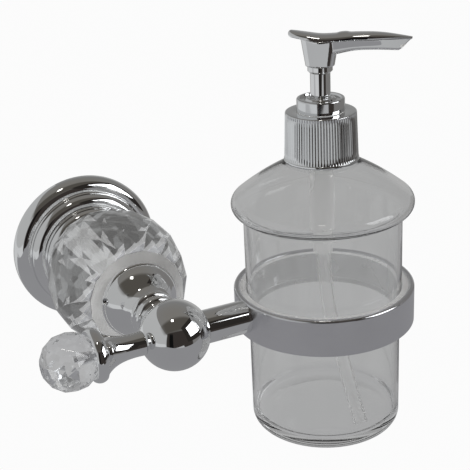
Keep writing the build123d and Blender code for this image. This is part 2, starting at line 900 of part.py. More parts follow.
def head_outline(grow):
    """Leaf shape seen from above: round at the rear, widest over the stem, narrow at the tip."""
    half = head_width / 2 + grow
    tip = tip_half + grow / 2
    ends = []
    for side in (1, -1):
        edge = side * half
        rear = Bezier((rear_t - grow, 0), (rear_t - grow, edge * 0.8), (-7.0, edge), (0, edge))
        flank = Bezier(rear @ 1, (12.0, edge), (26.0, edge * 0.86), (tip_t, side * tip))
        ends.append(flank @ 1)
    Line(*ends)


head_plan = Plane(origin=(bottle_x, -reach, 95.0), x_dir=spout_dir, z_dir=(0, 0, 1))

with BuildPart() as head_cover:
    with BuildSketch(spout_section):
        with BuildLine():
            top = saddle(0)
            under = saddle(cover_t)
            ThreePointArc(top @ 0, (rear_t, 113.9), under @ 0)
            Line(top @ 1, under @ 1)
        make_face()
    extrude(amount=head_width, both=True)
    with BuildSketch(head_plan):
        with BuildLine():
            head_outline(0)
        make_face()
    extrude(amount=30, mode=Mode.INTERSECT)
save(head_cover, "head_cover")

boss_low_r = 5.8
boss_high_r = 7.4
spout_half = 3.3
face_low = (31.0, 106.8)
face_high = (35.6, 111.2)
cover_gap = 0.02
nozzle_r = 1.5
nozzle_bore_r = 0.9
passage_r = 1.1


def on_spout(t, z):
    """Point in the vertical plane through the spout: t along the spout, z up."""
    return (bottle_x + spout_dir[0] * t, -reach + spout_dir[1] * t, z)


def spout_ray(t, z, slope):
    """Plane at a point of the spout, facing along it and down by slope degrees."""
    along = cos(radians(slope))
    return Plane(
        origin=on_spout(t, z),
        x_dir=spout_side,
        z_dir=(spout_dir[0] * along, spout_dir[1] * along, -sin(radians(slope))),
    )


passage_plane = spout_ray(0, 108.6, -2.0)
nozzle_plane = spout_ray(29.3, 109.4, 18.0)

with BuildPart() as head_body:
    with BuildSketch(bottle_section):
        with BuildLine():
            Polyline(
                (0, head_bottom),
                (boss_low_r - 0.5, head_bottom),
                (boss_low_r, head_bottom + 0.5),
                (boss_high_r, 115.2),
                (0, 115.2),
                close=True,
            )
        make_face()
    revolve(axis=bottle_axis)
    with BuildSketch(spout_section):
        with BuildLine():
            keel = Spline((2.0, 104.4), (6.4, 105.5), (14.0, 107.0), (22.0, 107.2), face_low)
            Polyline(keel @ 1, face_high, (tip_t, 115.2), (2.0, 115.2), keel @ 0)
        make_face()
    extrude(amount=spout_half, both=True)
    with BuildSketch(head_plan):
        with BuildLine():
            head_outline(-0.6)
        make_face()
        with Locations((0, 0)):
            Circle(boss_high_r + 0.2)
    extrude(amount=30, mode=Mode.INTERSECT)
    with BuildSketch(spout_section):
        with BuildLine():
            roof = saddle(cover_t + cover_gap)
            Polyline(roof @ 1, (50.0, 112.0), (50.0, 130.0), (-30.0, 130.0), (-30.0, 112.8), roof @ 0)
        make_face()
    extrude(amount=30, both=True, mode=Mode.SUBTRACT)
    with BuildSketch(Plane.XY.offset(head_bottom - 1)):
        with Locations((bottle_x, -reach)):
            Circle(sleeve_r + 0.02)
    extrude(amount=stem_top + 1.0 - head_bottom + 1, mode=Mode.SUBTRACT)
    with BuildSketch(passage_plane):
        Circle(passage_r)
    extrude(amount=30.5, mode=Mode.SUBTRACT)
    with BuildSketch(nozzle_plane):
        Circle(nozzle_r + 0.02)
    extrude(amount=8.0, mode=Mode.SUBTRACT)
save(head_body, "head_body")

with BuildPart() as nozzle:
    with BuildSketch(nozzle_plane):
        Circle(nozzle_r)
        Circle(nozzle_bore_r, mode=Mode.SUBTRACT)
    extrude(amount=8.0)
    with BuildSketch(spout_section):
        Polygon(face_low, face_high, (60.0, 111.2), (60.0, 90.0), (face_low[0] - 5, 90.0), align=None)
    extrude(amount=10, both=True, mode=Mode.SUBTRACT)
save(nozzle, "nozzle")
print("done")
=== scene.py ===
# %% [markdown]
# # A wall mounted soap dispenser, finished in Blender
# The dispenser is a crystal and chrome holder on a wall, with a glass pump bottle hanging in its ring.
# A CAD model already holds every piece, its size and how it moves. Blender adds what the eye wants:
# finer shapes, rounded edges, glass, cut crystal, chrome, and a studio to reflect in them.
# The first cell loads the CAD model as a fixed frame. Nothing in it is moved, so each new piece is placed
# by asking the frame where the old one is.

# %% Load the frame
import math

import bmesh
import bpy
from mathutils import Matrix, Vector


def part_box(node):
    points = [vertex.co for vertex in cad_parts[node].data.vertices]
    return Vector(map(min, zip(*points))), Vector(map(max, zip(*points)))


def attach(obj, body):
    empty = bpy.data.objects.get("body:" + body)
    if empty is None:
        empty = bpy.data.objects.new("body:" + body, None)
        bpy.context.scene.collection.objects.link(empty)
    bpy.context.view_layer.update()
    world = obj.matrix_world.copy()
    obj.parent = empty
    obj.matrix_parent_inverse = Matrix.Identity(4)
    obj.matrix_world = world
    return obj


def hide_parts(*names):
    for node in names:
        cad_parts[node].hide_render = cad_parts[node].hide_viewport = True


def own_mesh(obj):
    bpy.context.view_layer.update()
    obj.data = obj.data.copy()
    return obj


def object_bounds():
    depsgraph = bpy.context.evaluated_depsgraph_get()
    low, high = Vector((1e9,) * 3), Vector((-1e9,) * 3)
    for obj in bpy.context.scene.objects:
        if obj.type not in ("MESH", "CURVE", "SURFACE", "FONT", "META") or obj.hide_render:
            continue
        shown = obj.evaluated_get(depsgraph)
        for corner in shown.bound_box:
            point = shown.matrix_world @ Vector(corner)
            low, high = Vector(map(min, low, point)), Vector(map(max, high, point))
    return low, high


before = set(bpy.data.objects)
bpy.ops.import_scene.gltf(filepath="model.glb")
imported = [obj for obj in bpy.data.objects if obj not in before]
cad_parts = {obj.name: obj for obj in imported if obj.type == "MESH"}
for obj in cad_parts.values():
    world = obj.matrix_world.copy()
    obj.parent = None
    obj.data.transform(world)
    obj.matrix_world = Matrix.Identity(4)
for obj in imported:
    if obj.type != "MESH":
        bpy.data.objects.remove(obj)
cad_low, cad_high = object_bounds()
print("CAD box in metres:", [round(v, 4) for v in (*cad_low, *cad_high)])

# %% [markdown]
# ## Lengths
# The frame is in metres. Outlines of small turned parts read best in millimetres, so they are written
# in millimetres and scaled once, where vertices are made. Three lines organise the whole object: the post
# that comes straight out of the wall, the arm line that crosses it at the ball, and the upright bottle axis.

# %% Lengths and the three axes
mm = 0.001


def box_mm(node):
    """Lowest and highest corner of a CAD node, in millimetres."""
    low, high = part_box(node)
    return low / mm, high / mm


def middle_mm(node):
    """Middle of a CAD node's box, in millimetres."""
    low, high = box_mm(node)
    return (low + high) / 2


bottle_x = middle_mm("bottle").x
reach = -middle_mm("bottle").y
print("bottle axis", round(bottle_x, 2), "mm to the side and", round(reach, 2), "mm from the wall")


def on_post(along, u, v):
    """Point of a piece turned about the post: along is the distance from the wall."""
    return Vector((u, -along, v)) * mm


def on_arm(along, u, v):
    """Point of a piece turned about the arm line: along is to the right of the ball."""
    return Vector((along, u - reach, v)) * mm


def on_bottle(along, u, v):
    """Point of a piece turned about the bottle axis: along is the height."""
    return Vector((bottle_x + u, v - reach, along)) * mm


# %% [markdown]
# ## Camera
# A long lens from the left and a little above, as for a catalogue picture. The camera is placed by its
# heading, height and distance from an aiming point, which is how a photographer thinks of it.

# %% Camera
heading = math.radians(-25.2)
climb = math.radians(21.89)
tilt = math.radians(-2.79)
distance = 496.2 * mm
aim = Vector((53.86, -61.6, 13.99)) * mm
focal_length = 82.4

back = Vector((
    math.sin(heading) * math.cos(climb),
    -math.cos(heading) * math.cos(climb),
    math.sin(climb),
))
right = Vector((0, 0, 1)).cross(back).normalized()
up = back.cross(right)
tilted_right = math.cos(tilt) * right + math.sin(tilt) * up
tilted_up = math.cos(tilt) * up - math.sin(tilt) * right

lens = bpy.data.cameras.new("catalogue_lens")
lens.lens = focal_length
lens.sensor_width = 36
lens.clip_start = 0.01
camera = bpy.data.objects.new("catalogue_camera", lens)
camera.matrix_world = Matrix.Translation(aim + back * distance) @ Matrix(
    (tilted_right, tilted_up, back)
).transposed().to_4x4()
bpy.context.scene.collection.objects.link(camera)
bpy.context.scene.camera = camera
bpy.context.scene.view_settings.view_transform = "Standard"
print("camera at", [round(v, 3) for v in camera.matrix_world.translation])

# %% [markdown]
# Light has to pass many surfaces in a cut crystal before it comes out, so rays may bounce more often here.

# %% Bounces
paths = bpy.context.scene.cycles
paths.max_bounces = 28
paths.transmission_bounces = 24
paths.glossy_bounces = 10

# %% [markdown]
# ## Studio
# Chrome and glass have no look of their own: they show the room. A polished ball in such a room shows a grey
# table below, a light wall on the left, a tall bright window on the right, and the dark where the
# camera stands. Real softboxes would do, but they have to be hidden one by one from the camera. Painting the
# room into the world shader is lighter: every panel is a rectangle on the sky around the object, and the
# camera itself sees only a white backdrop.

# %% The room painted around the object
world = bpy.data.worlds.new("studio")
bpy.context.scene.world = world
world.use_nodes = True
sky = world.node_tree
sky.nodes.clear()
sky_way = sky.nodes.new("ShaderNodeTexCoord").outputs["Generated"]


def wire(tree, kind, sockets, **settings):
    """Add a node, set its properties, feed its inputs, and hand it back."""
    node = tree.nodes.new(kind)
    for key, value in settings.items():
        setattr(node, key, value)
    for key, value in sockets.items():
        if isinstance(value, bpy.types.NodeSocket):
            tree.links.new(value, node.inputs[key])
        else:
            node.inputs[key].default_value = value
    return node


def number(tree, operation, *values):
    """Math node: one operation on numbers or sockets."""
    return wire(tree, "ShaderNodeMath", dict(enumerate(values)), operation=operation).outputs[0]


def direction(turn, rise):
    """Unit vector at a heading and height in degrees; heading 0 faces the room."""
    turn, rise = math.radians(turn), math.radians(rise)
    return Vector((math.sin(turn) * math.cos(rise), -math.cos(turn) * math.cos(rise), math.sin(rise)))


def panel(colour_below, turn, rise, wide, high, soft, colour):
    """Paint a rectangle of the room, wide and high in degrees, over what is there already."""
    middle = direction(turn, rise)
    side = Vector((0, 0, 1)).cross(middle).normalized()
    top = middle.cross(side)
    shares = []
    facing = wire(sky, "ShaderNodeVectorMath", {0: sky_way, 1: middle}, operation="DOT_PRODUCT")
    ahead = number(sky, "MAXIMUM", facing.outputs["Value"], 0.001)
    for axis, spread in ((side, wide), (top, high)):
        across = wire(sky, "ShaderNodeVectorMath", {0: sky_way, 1: axis}, operation="DOT_PRODUCT")
        away = number(sky, "ABSOLUTE", number(sky, "DIVIDE", across.outputs["Value"], ahead))
        edge = math.tan(math.radians(spread / 2))
        fade = wire(sky, "ShaderNodeMapRange", {
            "Value": away,
            "From Min": edge * (1 - soft),
            "From Max": edge,
            "To Min": 1.0,
            "To Max": 0.0,
        }, interpolation_type="SMOOTHSTEP")
        shares.append(fade.outputs[0])
    seen = number(sky, "GREATER_THAN", facing.outputs["Value"], 0.001)
    mask = number(sky, "MULTIPLY", number(sky, "MULTIPLY", *shares), seen)
    mix = wire(sky, "ShaderNodeMix", {"Factor": mask, "A": colour_below, "B": (*colour, 1)},
               data_type="RGBA")
    return mix.outputs["Result"]


# %% [markdown]
# Each row names a panel: where it is, how large it is, how soft its edge is, and its brightness.
# Later panels are painted over earlier ones.

# %% Panels of the room
height = wire(sky, "ShaderNodeSeparateXYZ", {"Vector": sky_way}).outputs["Z"]
shade = wire(sky, "ShaderNodeValToRGB", {"Fac": number(sky, "MULTIPLY_ADD", height, 0.5, 0.5)})
shade.color_ramp.elements[0].color = (0.36, 0.36, 0.37, 1)
shade.color_ramp.elements[1].color = (0.20, 0.19, 0.175, 1)
for place, level in ((0.36, 0.42), (0.52, 0.43), (0.62, 0.30), (0.72, 0.21)):
    stop = shade.color_ramp.elements.new(place)
    stop.color = (level, level, level * 0.99, 1)
room = shade.outputs["Color"]
panels = [
    ("left wall", -112, 10, 134, 76, 0.05, (0.47, 0.475, 0.475)),
    ("right wall", 78, -6, 92, 84, 0.06, (0.20, 0.195, 0.19)),
    ("dim ceiling over the camera", -2, 58, 110, 56, 0.5, (0.085, 0.078, 0.068)),
    ("dark room behind the camera", -7, -4, 86, 84, 0.12, (0.04, 0.034, 0.031)),
    ("black edge of the room", -33, -2, 14, 70, 0.3, (0.006, 0.006, 0.006)),
    ("bright foot of the left wall", -105, -24, 112, 38, 0.08, (0.62, 0.63, 0.635)),
    ("pale floor towards the camera", -50, -34, 110, 34, 0.08, (0.46, 0.465, 0.47)),
    ("frame of the window", 46, 23, 62, 56, 0.08, (0.025, 0.022, 0.02)),
    ("window", 48, 24, 36, 30, 0.04, (3.4, 3.45, 3.5)),
    ("window bar", 48, 20, 36, 2.6, 0.2, (0.04, 0.04, 0.04)),
    ("ceiling lamp", -33, 72, 7, 7, 0.3, (8.0, 7.8, 7.4)),
]
for name, *rest in panels:
    room = panel(room, *rest)
    print("painted", name)

# %% [markdown]
# Light that comes through crystal, glass or milky plastic has crossed a bright room many times. Such rays
# meet a paler room, so the inside of a cut stone sparkles instead of turning black. Matt plastic is lit a
# little more strongly, because a painted sky has no lamps near the object. The camera sees a white backdrop.

# %% The room seen through glass, and the backdrop
seen_by = wire(sky, "ShaderNodeLightPath", {})
through_glass = number(sky, "GREATER_THAN", seen_by.outputs["Transmission Depth"], 0.5)
pale_share, pale_room, extra_for_matt = 0.55, (0.425, 0.425, 0.428, 1), 1.1
room = wire(sky, "ShaderNodeMix", {
    "Factor": number(sky, "MULTIPLY", through_glass, pale_share), "A": room, "B": pale_room,
}, data_type="RGBA").outputs["Result"]
white_backdrop = (0.97, 0.97, 0.97, 1)
final = wire(sky, "ShaderNodeMix", {
    "Factor": seen_by.outputs["Is Camera Ray"], "A": room, "B": white_backdrop,
}, data_type="RGBA")
strength = number(sky, "MULTIPLY_ADD", seen_by.outputs["Is Diffuse Ray"], extra_for_matt, 1.0)
light = wire(sky, "ShaderNodeBackground", {"Color": final.outputs["Result"], "Strength": strength})
wire(sky, "ShaderNodeOutputWorld", {"Surface": light.outputs[0]})
print(len(sky.nodes), "nodes in the studio")

# %% [markdown]
# The floor is a pale sheet far below. It is lit so evenly that it melts into the backdrop.

# %% Floor
def glowing_sheet(name, low, high, height, colour, unseen_by):
    """Flat evenly glowing rectangle of the set, hidden from some kinds of ray."""
    corners = [(low[0], low[1]), (high[0], low[1]), (high[0], high[1]), (low[0], high[1])]
    data = bpy.data.meshes.new(name)
    data.from_pydata([(x, y, height) for x, y in corners], [], [(0, 1, 2, 3)])
    finish = bpy.data.materials.new(name)
    finish.use_nodes = True
    tree = finish.node_tree
    tree.nodes.clear()
    glow = wire(tree, "ShaderNodeEmission", {"Color": (*colour, 1), "Strength": 1.0})
    wire(tree, "ShaderNodeOutputMaterial", {"Surface": glow.outputs[0]})
    data.materials.append(finish)
    sheet = bpy.data.objects.new(name, data)
    bpy.context.scene.collection.objects.link(sheet)
    for ray in unseen_by:
        setattr(sheet, "visible_" + ray, False)


floor_half, floor_drop = 6.0, 0.30
glowing_sheet("floor", (-floor_half, -floor_half), (floor_half, floor_half), cad_low.z - floor_drop,
              white_backdrop[:3], ("glossy", "diffuse", "transmission", "shadow"))

# %% [markdown]
# A low grey table stands in front of and under the holder. Only reflections see it. Because it is near, it
# fills the underside of the ball and the ring but not of the pump stem, which looks over its edge.

# %% Table that only reflections see
table_left, table_right, table_front, table_rear = -0.34, 0.52, -0.42, 0.10
table_drop = 0.030
table_grey = (0.285, 0.285, 0.295)
glowing_sheet("table", (table_left, table_front), (table_right, table_rear), cad_low.z - table_drop,
              table_grey, ("camera", "diffuse", "transmission", "shadow"))

# %% [markdown]
# ## Chrome
# Chrome plate is a bright, faintly blue metal. Its polish is never perfect: faint wiping marks change the
# roughness, and the plated surface waves very slightly. Both come from noise in object space.

# %% Finishes: helpers and chrome
def finish_base(name):
    """New material with a Principled shader; returns material, tree and shader."""
    material = bpy.data.materials.new(name)
    material.use_nodes = True
    tree = material.node_tree
    return material, tree, tree.nodes["Principled BSDF"]


def cloudy(tree, scale, detail, low, high, stretch=(1, 1, 1)):
    """Noise in object space, spread between two levels."""
    place = tree.nodes.new("ShaderNodeTexCoord").outputs["Object"]
    moved = wire(tree, "ShaderNodeMapping", {"Vector": place, "Scale": stretch})
    noise = wire(tree, "ShaderNodeTexNoise", {
        "Vector": moved.outputs[0], "Scale": scale, "Detail": detail, "Roughness": 0.55,
    })
    spread = wire(tree, "ShaderNodeMapRange", {
        "Value": noise.outputs["Fac"], "From Min": 0.3, "From Max": 0.7, "To Min": low, "To Max": high,
    })
    return spread.outputs[0]


def waved(tree, shader, scale, depth, stretch=(1, 1, 1)):
    """Very shallow waves in the surface."""
    waves = cloudy(tree, scale, 2.0, 0.0, 1.0, stretch)
    bump = wire(tree, "ShaderNodeBump", {"Height": waves, "Distance": depth, "Strength": 1.0})
    tree.links.new(bump.outputs["Normal"], shader.inputs["Normal"])


def tinted(tree, shader, dark, light, scale):
    """Colour that drifts slightly between two tones."""
    mix = wire(tree, "ShaderNodeMix", {
        "Factor": cloudy(tree, scale, 3.0, 0.0, 1.0), "A": (*dark, 1), "B": (*light, 1),
    }, data_type="RGBA")
    tree.links.new(mix.outputs["Result"], shader.inputs["Base Color"])


def metal(name, dark, light, rough_low, rough_high, grain=90.0, wave_depth=0.00001, stretch=(1, 1, 1)):
    """A metal whose polish and tone change a little over the surface."""
    material, tree, shader = finish_base(name)
    shader.inputs["Metallic"].default_value = 1.0
    tinted(tree, shader, dark, light, grain / 3)
    rough = cloudy(tree, grain, 4.0, rough_low, rough_high, stretch)
    tree.links.new(rough, shader.inputs["Roughness"])
    waved(tree, shader, grain / 2, wave_depth, stretch)
    return material


finishes = {
    "chrome": metal("polished_chrome", (0.82, 0.825, 0.83), (0.88, 0.885, 0.89), 0.015, 0.045),
    "ring_chrome": metal("satin_chrome", (0.74, 0.74, 0.76), (0.78, 0.78, 0.80), 0.16, 0.24,
                         stretch=(1, 1, 6)),
    "collar_chrome": metal("plated_plastic", (0.78, 0.79, 0.80), (0.84, 0.85, 0.86), 0.05, 0.10),
    "steel": metal("plain_steel", (0.50, 0.50, 0.51), (0.60, 0.60, 0.61), 0.18, 0.35),
    "zinc_bracket": metal("cast_zinc", (0.42, 0.43, 0.44), (0.55, 0.56, 0.57), 0.35, 0.55, grain=260.0,
                          wave_depth=0.00004),
}

# %% [markdown]
# ## Glass, crystal and clear plastic
# All three let light through. What tells them apart is how far they bend it and how clear they are: glass
# near 1.5, crystal a little more, polypropylene with a haze. The haze scatters light that a renderer would
# have to follow for long, so the plastics get a trace of glow instead.

# %% Finishes that let light through
def clear(name, colour_low, colour_high, bend_index, rough_low, rough_high, grain=60.0, wave_depth=0.0):
    """A see-through material with faint changes of tint and haze."""
    material, tree, shader = finish_base(name)
    shader.inputs["Transmission Weight"].default_value = 1.0
    shader.inputs["IOR"].default_value = bend_index
    tinted(tree, shader, colour_low, colour_high, grain)
    rough = cloudy(tree, grain, 3.0, rough_low, rough_high)
    tree.links.new(rough, shader.inputs["Roughness"])
    if wave_depth:
        waved(tree, shader, grain / 2, wave_depth)
    return material


glass_bend, crystal_bend, plastic_bend = 1.46, 1.52, 1.38
finishes["bottle_glass"] = clear("bottle_glass", (0.975, 0.98, 0.98), (0.99, 0.992, 0.992), glass_bend,
                                 0.0, 0.006, wave_depth=0.00003)
crystal_tints = (0.985, 0.99, 1.0), (0.995, 0.998, 1.0)
finishes["cut_crystal"] = clear("cut_crystal", *crystal_tints, crystal_bend, 0.0, 0.004)
finishes["clear_plastic"] = clear("clear_plastic", (0.97,) * 3, (0.99,) * 3, plastic_bend, 0.10, 0.16)
milky_plastic = clear("milky_plastic", (0.93,) * 3, (0.96,) * 3, plastic_bend, 0.22, 0.30)


def hazy(material, clearness, gathered_light):
    """Let less light straight through and add the light that the haze gathers."""
    surface = material.node_tree.nodes["Principled BSDF"]
    surface.inputs["Transmission Weight"].default_value = clearness
    surface.inputs["Emission Color"].default_value = (1.0, 1.0, 0.99, 1)
    surface.inputs["Emission Strength"].default_value = gathered_light


hazy(finishes["clear_plastic"], 0.88, 0.03)
hazy(milky_plastic, 0.42, 0.10)

# %% [markdown]
# Inside a cut stone light runs back and forth between the facets and comes out in fragments. A renderer gives
# up on most of those paths, so cells of faint painted light on the facets stand for them. The flat ends of
# the stone are
# ground, not polished: they are hazy and also get a faint painted glow, so they look white.

# %% Fragments of light in the stones
barrel_stone = clear("barrel_crystal", *crystal_tints, crystal_bend, 0.0, 0.004)
for stone, glow, cells_per_metre in ((barrel_stone, 0.135, 210.0), (finishes["cut_crystal"], 0.03, 300.0)):
    tree = stone.node_tree
    surface = tree.nodes["Principled BSDF"]
    place = wire(tree, "ShaderNodeTexCoord", {}).outputs["Object"]
    cells = wire(tree, "ShaderNodeTexVoronoi", {"Vector": place, "Scale": cells_per_metre})
    light_of_cell = wire(tree, "ShaderNodeValToRGB", {"Fac": cells.outputs["Color"]})
    dark_cell, bright_cell = light_of_cell.color_ramp.elements
    dark_cell.position, dark_cell.color = 0.34, (0.03, 0.03, 0.034, 1)
    bright_cell.position, bright_cell.color = 0.84, (0.95, 0.98, 1.0, 1)
    tree.links.new(light_of_cell.outputs["Color"], surface.inputs["Emission Color"])
    surface.inputs["Emission Strength"].default_value = glow
ground_glowing_stone = clear("ground_glowing_crystal", (0.95, 0.95, 0.94), (0.98, 0.98, 0.97), 1.4, 0.35, 0.45)
# The ground ends also carry a faint painted glow, which stands for light scattered inside them.
hazy(ground_glowing_stone, 0.35, 0.10)

# %% [markdown]
# ## White plastic and rubber

# %% Finishes that hide what is behind them
def moulded(name, dark, light, rough_low, rough_high, grain, wave_depth):
    """Plain moulded plastic or rubber."""
    material, tree, shader = finish_base(name)
    tinted(tree, shader, dark, light, grain / 4)
    tree.links.new(cloudy(tree, grain, 4.0, rough_low, rough_high), shader.inputs["Roughness"])
    waved(tree, shader, grain, wave_depth)
    return material


finishes["white_plastic"] = moulded("white_plastic", (0.78, 0.78, 0.76), (0.86, 0.86, 0.85), 0.3, 0.45,
                                    400.0, 0.00002)
finishes["seal"] = moulded("grey_seal", (0.46, 0.46, 0.46), (0.56, 0.56, 0.56), 0.4, 0.6, 500.0, 0.00003)

# %% [markdown]
# ## Finishes on the CAD pieces
# The record of the part says which finish each CAD piece takes.

# %% Dress the CAD pieces
for name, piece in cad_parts.items():
    slot_name = piece.material_slots[0].material.name.split(".")[0]
    piece.material_slots[0].material = finishes[slot_name]

# %% [markdown]
# The barrel of the pump and the liner of the ring are moulded from a milkier grade: a spring inside or the
# ring behind must not show through.

# %% Milky barrel and liner
for name in ("pump_housing", "support_ring"):
    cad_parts[name].material_slots[0].material = milky_plastic

# %% [markdown]
# ## Turned pieces
# Most of the holder is turned on a lathe, and so are its meshes: an outline in millimetres is swept once
# round an axis. Three helpers draw outlines: an arc through three points, a flowing curve, and a pass that
# rounds the corners, because a plated edge is never knife sharp and its rounding is what catches the light.

# %% Outline helpers
def arc(start, through, end, steps=10):
    """Points on the circle through three points."""
    (ax, ay), (bx, by), (cx, cy) = start, through, end
    d = 2 * (ax * (by - cy) + bx * (cy - ay) + cx * (ay - by))
    ux = ((ax**2 + ay**2) * (by - cy) + (bx**2 + by**2) * (cy - ay) + (cx**2 + cy**2) * (ay - by)) / d
    uy = ((ax**2 + ay**2) * (cx - bx) + (bx**2 + by**2) * (ax - cx) + (cx**2 + cy**2) * (bx - ax)) / d
    radius = math.hypot(ax - ux, ay - uy)
    first = math.atan2(ay - uy, ax - ux)
    passing = (math.atan2(by - uy, bx - ux) - first) % math.tau
    sweep = (math.atan2(cy - uy, cx - ux) - first) % math.tau
    if passing > sweep:
        sweep -= math.tau
    turns = [first + sweep * step / steps for step in range(steps + 1)]
    return [(ux + radius * math.cos(turn), uy + radius * math.sin(turn)) for turn in turns]


def flow(a, b, c, d, steps=16):
    """Points on the curve that leaves a towards b and comes into d from c."""
    points = []
    for step in range(steps + 1):
        s = step / steps
        weights = ((1 - s) ** 3, 3 * s * (1 - s) ** 2, 3 * s * s * (1 - s), s**3)
        points.append(tuple(sum(w * p[k] for w, p in zip(weights, (a, b, c, d))) for k in (0, 1)))
    return points


def softened(outline, size=0.25, steps=3, sharpest=25.0):
    """The same closed outline with every real corner rounded off."""
    clean = [p for i, p in enumerate(outline) if math.dist(p, outline[i - 1]) > 1e-4]
    rounded = []
    for i, corner in enumerate(clean):
        before, after = Vector(clean[i - 1]), Vector(clean[(i + 1) % len(clean)])
        here = Vector(corner)
        to_before, to_after = before - here, after - here
        turn = 180 - math.degrees(to_before.angle(to_after))
        if turn < sharpest or corner[0] < 1e-6:
            rounded.append(corner)
            continue
        cut = min(size, 0.4 * to_before.length, 0.4 * to_after.length)
        start, end = here + to_before.normalized() * cut, here + to_after.normalized() * cut
        for step in range(steps + 1):
            s = step / steps
            rounded.append(tuple((1 - s) ** 2 * start + 2 * s * (1 - s) * here + s * s * end))
    return rounded


# %% [markdown]
# The lathe itself makes one ring of vertices for each outline point. A relief function may push points in
# or out as the ring goes round, which gives flutes and threads without any extra pieces. Weighted normals
# keep flat faces flat beside their rounded edges.

# %% The lathe
def finished(name, mesh, finish, body, *nodes, smooth_under=40.0):
    """Turn a bmesh into a dressed piece that rides on its body and stands for its CAD nodes."""
    bmesh.ops.remove_doubles(mesh, verts=mesh.verts, dist=0.001 * mm)
    bmesh.ops.recalc_face_normals(mesh, faces=mesh.faces)
    data = bpy.data.meshes.new(name)
    mesh.to_mesh(data)
    mesh.free()
    if smooth_under:
        data.shade_smooth()
        data.set_sharp_from_angle(angle=math.radians(smooth_under))
    piece = bpy.data.objects.new(name, data)
    bpy.context.scene.collection.objects.link(piece)
    if smooth_under:
        normals = piece.modifiers.new("flat faces stay flat", "WEIGHTED_NORMAL")
        normals.keep_sharp = True
    data.materials.append(finishes[finish])
    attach(piece, body)
    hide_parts(*nodes)
    print(f"{name}: {len(data.vertices)} vertices on {body}, for {', '.join(nodes)}")
    return piece


def lathe(outline, place, segments=144, relief=None):
    """Mesh of a closed outline of (radius, along) points swept round an axis."""
    mesh = bmesh.new()
    rings = []
    for radius, along in outline:
        ring = []
        for step in range(segments):
            angle = math.tau * step / segments
            r, a = relief(angle, radius, along) if relief else (radius, along)
            ring.append(mesh.verts.new(place(a, r * math.cos(angle), r * math.sin(angle))))
        rings.append(ring)
    for i, ring in enumerate(rings):
        after = rings[(i + 1) % len(rings)]
        for step in range(segments):
            turn = (step + 1) % segments
            mesh.faces.new((ring[step], ring[turn], after[turn], after[step]))
    return mesh


# %% [markdown]
# ## Escutcheon
# The escutcheon hides the wall bracket: three cushion-shaped tiers, pressed from one sheet and chromed. Each
# tier is an arc that swells outwards, and the sharp valleys between them draw the dark lines.

# %% Escutcheon
plate_low, plate_high = box_mm("escutcheon")
plate_r, plate_depth = plate_high.x, -plate_low.y
rod_hole_r = 3.4
tiers = [(0.0, 2.0, 6.0, 8.6), (6.5, 9.4, 11.8, 14.2), (12.3, 15.0, 15.2, plate_depth)]
swell = 0.24


def cushion(outer_drop, start, inner_drop, end):
    """Swelling arc of one tier, from its outer foot to its inner top."""
    outer, inner = plate_r - outer_drop, plate_r - inner_drop
    middle = ((outer + inner) / 2 + (end - start) * swell, (start + end) / 2 + (outer - inner) * swell)
    return arc((outer, start), middle, (inner, end), 14)


face = [(plate_r - 0.8, 0.0), (plate_r, 0.8)]
for tier in tiers:
    face += cushion(*tier)
hollow = [(rod_hole_r, plate_depth), (rod_hole_r, 18.3), (19.0, 18.3), (21.4, 12.9), (22.4, 12.6),
          (27.3, 8.2), (27.6, 7.2), (33.9, 1.6), (34.0, 0.0)]
finished("escutcheon_cover", lathe(softened(face + hollow, 0.3), on_post, 192), "chrome", "holder",
         "escutcheon")

# %% [markdown]
# ## Cut crystals
# The large crystal is a barrel of sixteen sides and five rows of triangles, the small one a ball. Every
# second ring of corners is turned half a step, which is what gives diamonds. Polished facets meet in fine
# ground edges, so each edge gets a narrow bevel that glints, and the faces stay flat.

# %% Cut crystals
def cut_stone(rings, sides, place, bore_r, bore_to):
    """Faceted bead with a bore: rings are (along, radius), and the bore starts at the first ring."""
    mesh = bmesh.new()

    def circle(along, radius, turn):
        angles = [turn + math.tau * step / sides for step in range(sides)]
        return [mesh.verts.new(place(along, radius * math.cos(a), radius * math.sin(a))) for a in angles]

    corners = [circle(along, radius, (i % 2) * math.pi / sides) for i, (along, radius) in enumerate(rings)]
    facets = []
    for i in range(len(rings) - 1):
        near, far = corners[i], corners[i + 1]
        for step in range(sides):
            after = (step + 1) % sides
            if i % 2 == 0:
                facets += [(near[step], near[after], far[step]), (far[step], far[after], near[after])]
            else:
                facets += [(near[step], near[after], far[after]), (far[step], far[after], near[step])]
    made = [mesh.faces.new(facet) for facet in facets]
    edges = list({edge for facet in made for edge in facet.edges})
    last_turn = ((len(rings) - 1) % 2) * math.pi / sides
    mouth = circle(rings[0][0], bore_r, 0.0)
    through = bore_to is None
    bottom = circle(rings[-1][0] if through else bore_to, bore_r, last_turn if through else 0.0)
    loops = [(corners[0], mouth), (mouth, bottom)]
    if through:
        loops.append((bottom, corners[-1]))
    else:
        mesh.faces.new(bottom)
        mesh.faces.new(corners[-1])
    for one, two in loops:
        for step in range(sides):
            after = (step + 1) % sides
            end_face = mesh.faces.new((one[step], one[after], two[after], two[step]))
            end_face.material_index = int(through)
    bmesh.ops.recalc_face_normals(mesh, faces=mesh.faces)
    bmesh.ops.bevel(mesh, geom=edges, offset=0.14 * mm, segments=1, profile=0.5, affect="EDGES",
                    clamp_overlap=True)
    return mesh


stone_low, stone_high = box_mm("large_crystal")
stone_start, stone_end = -stone_high.y, -stone_low.y
stone_sides, stone_rows = 16, 5
stone_rings = []
for row in range(stone_rows + 1):
    share = row / stone_rows
    stone_rings.append((
        stone_start + (stone_end - stone_start) * share,
        22.0 + (31.2 - 22.0) * math.sin(math.pi * share) ** 0.8,
    ))
barrel = finished("barrel_crystal", cut_stone(stone_rings, stone_sides, on_post, rod_hole_r, None),
                  "cut_crystal", "holder", "large_crystal", smooth_under=None)
barrel.data.materials[0] = barrel_stone
barrel.data.materials.append(ground_glowing_stone)

